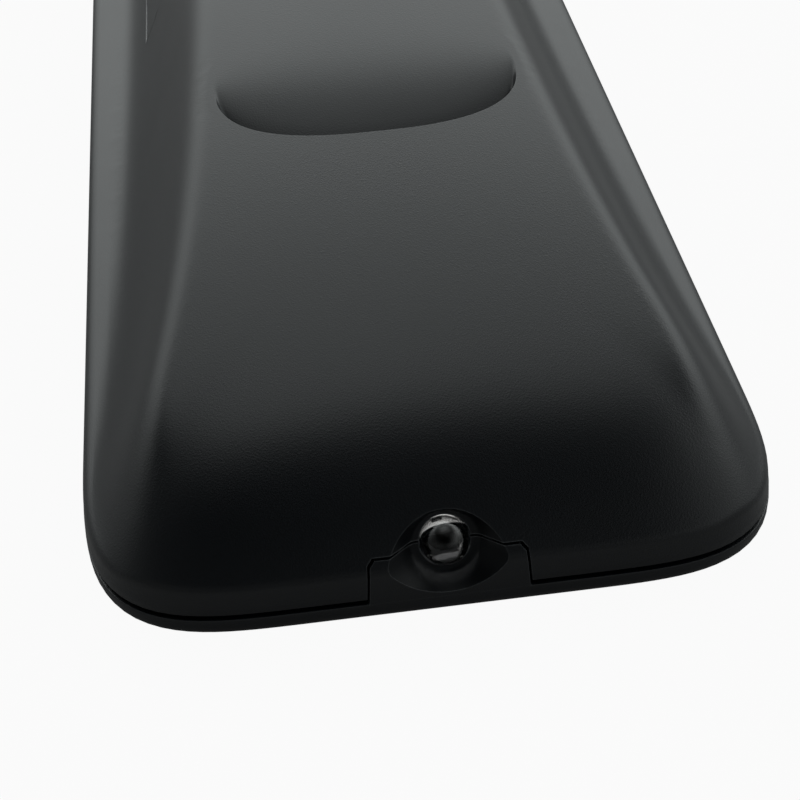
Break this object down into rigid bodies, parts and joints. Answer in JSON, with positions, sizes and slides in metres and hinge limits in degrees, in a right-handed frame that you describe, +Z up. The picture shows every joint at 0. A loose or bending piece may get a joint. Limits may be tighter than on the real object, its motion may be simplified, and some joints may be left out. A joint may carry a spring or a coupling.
{
  "type": "soundbar remote control",
  "caption": "Slim black handheld infrared remote with a raised, waisted back, finger recess, sliding battery door, sprung keys and a clear emitter at its end.",
  "frame": {"origin": "middle of the front shell's rim, which the remote rests on when it lies face down", "axes": "+Z up out of the back, -Y towards the emitter end, +X across to the right as seen from the emitter end with the back up"},
  "size_m": [0.046, 0.15, 0.0211],
  "materials": {
    "rear_plastic": "satin black plastic with a fine moulded grain",
    "front_plastic": "satin black plastic with a fine moulded grain",
    "key_plastic": "smooth satin dark grey plastic with pale printed signs",
    "emitter_clear": "clear cast resin",
    "lead_metal": "tinned wire",
    "board_laminate": "green solder mask",
    "silicone": "translucent grey silicone",
    "chip_resin": "moulded resin",
    "can_metal": "pressed can",
    "capacitor_sleeve": "shrunk sleeve",
    "passive_ceramic": "ceramic body",
    "contact_metal": "nickel plated spring steel",
    "cell_sleeve": "printed sleeve"
  },
  "bodies": {
    "case": {"rear_shell": "rear_plastic", "front_shell": "front_plastic", "ir_led": "emitter_clear", "ir_led_leads": "lead_metal", "circuit_board": "board_laminate", "keypad_mat": "silicone", "controller_chip": "chip_resin", "resonator": "can_metal", "reservoir_capacitor": "capacitor_sleeve", "chip_passives": "passive_ceramic", "contact_positive": "contact_metal", "contact_negative": "contact_metal", "negative_spring": "contact_metal", "contact_bridge": "contact_metal", "bridge_spring": "contact_metal", "cell_left": "cell_sleeve", "cell_right": "cell_sleeve"},
    "door": {"battery_door": "rear_plastic"},
    "power": {"power_key": "key_plastic", "power_plunger": "silicone"},
    "source": {"source_key": "key_plastic", "source_plunger": "silicone"},
    "mute": {"mute_key": "key_plastic", "mute_plunger": "silicone"},
    "mode": {"mode_key": "key_plastic", "mode_plunger": "silicone"},
    "right": {"right_key": "key_plastic", "right_plunger": "silicone"},
    "down": {"down_key": "key_plastic", "down_plunger": "silicone"},
    "left": {"left_key": "key_plastic", "left_plunger": "silicone"},
    "up": {"up_key": "key_plastic", "up_plunger": "silicone"},
    "play": {"play_key": "key_plastic", "play_plunger": "silicone"},
    "pair": {"pair_key": "key_plastic", "pair_plunger": "silicone"},
    "settings": {"settings_key": "key_plastic", "settings_plunger": "silicone"},
    "light": {"light_key": "key_plastic", "light_plunger": "silicone"},
    "volume": {"volume_key": "key_plastic", "volume_plunger": "silicone"},
    "woofer": {"woofer_key": "key_plastic", "woofer_plunger": "silicone"}
  },
  "joints": [
    {"name": "door_slide", "type": "slide", "parent": "case", "child": "door", "axis": [0, 1, 0], "range_m": [0, 0.008]},
    {"name": "power_press", "type": "slide", "parent": "case", "child": "power", "axis": [0, 0, 1], "range_m": [0, 0.0006], "stiffness_N_per_m": 1000},
    {"name": "source_press", "type": "slide", "parent": "case", "child": "source", "axis": [0, 0, 1], "range_m": [0, 0.0006], "stiffness_N_per_m": 1000},
    {"name": "mute_press", "type": "slide", "parent": "case", "child": "mute", "axis": [0, 0, 1], "range_m": [0, 0.0006], "stiffness_N_per_m": 1000},
    {"name": "mode_press", "type": "slide", "parent": "case", "child": "mode", "axis": [0, 0, 1], "range_m": [0, 0.0006], "stiffness_N_per_m": 1000},
    {"name": "right_press", "type": "slide", "parent": "case", "child": "right", "axis": [0, 0, 1], "range_m": [0, 0.0006], "stiffness_N_per_m": 1000},
    {"name": "down_press", "type": "slide", "parent": "case", "child": "down", "axis": [0, 0, 1], "range_m": [0, 0.0006], "stiffness_N_per_m": 1000},
    {"name": "left_press", "type": "slide", "parent": "case", "child": "left", "axis": [0, 0, 1], "range_m": [0, 0.0006], "stiffness_N_per_m": 1000},
    {"name": "up_press", "type": "slide", "parent": "case", "child": "up", "axis": [0, 0, 1], "range_m": [0, 0.0006], "stiffness_N_per_m": 1000},
    {"name": "play_press", "type": "slide", "parent": "case", "child": "play", "axis": [0, 0, 1], "range_m": [0, 0.0006], "stiffness_N_per_m": 1000},
    {"name": "pair_press", "type": "slide", "parent": "case", "child": "pair", "axis": [0, 0, 1], "range_m": [0, 0.0006], "stiffness_N_per_m": 1000},
    {"name": "settings_press", "type": "slide", "parent": "case", "child": "settings", "axis": [0, 0, 1], "range_m": [0, 0.0006], "stiffness_N_per_m": 1000},
    {"name": "light_press", "type": "slide", "parent": "case", "child": "light", "axis": [0, 0, 1], "range_m": [0, 0.0006], "stiffness_N_per_m": 1000},
    {"name": "volume_rock", "type": "hinge", "parent": "case", "child": "volume", "pos_m": [-0.0118, -0.032, 0.0026], "axis": [1, 0, 0], "range_deg": [-2.5, 2.5], "stiffness_Nm_per_rad": 0.13},
    {"name": "woofer_rock", "type": "hinge", "parent": "case", "child": "woofer", "pos_m": [0.0118, -0.032, 0.0026], "axis": [1, 0, 0], "range_deg": [-2.5, 2.5], "stiffness_Nm_per_rad": 0.13}
  ]
}
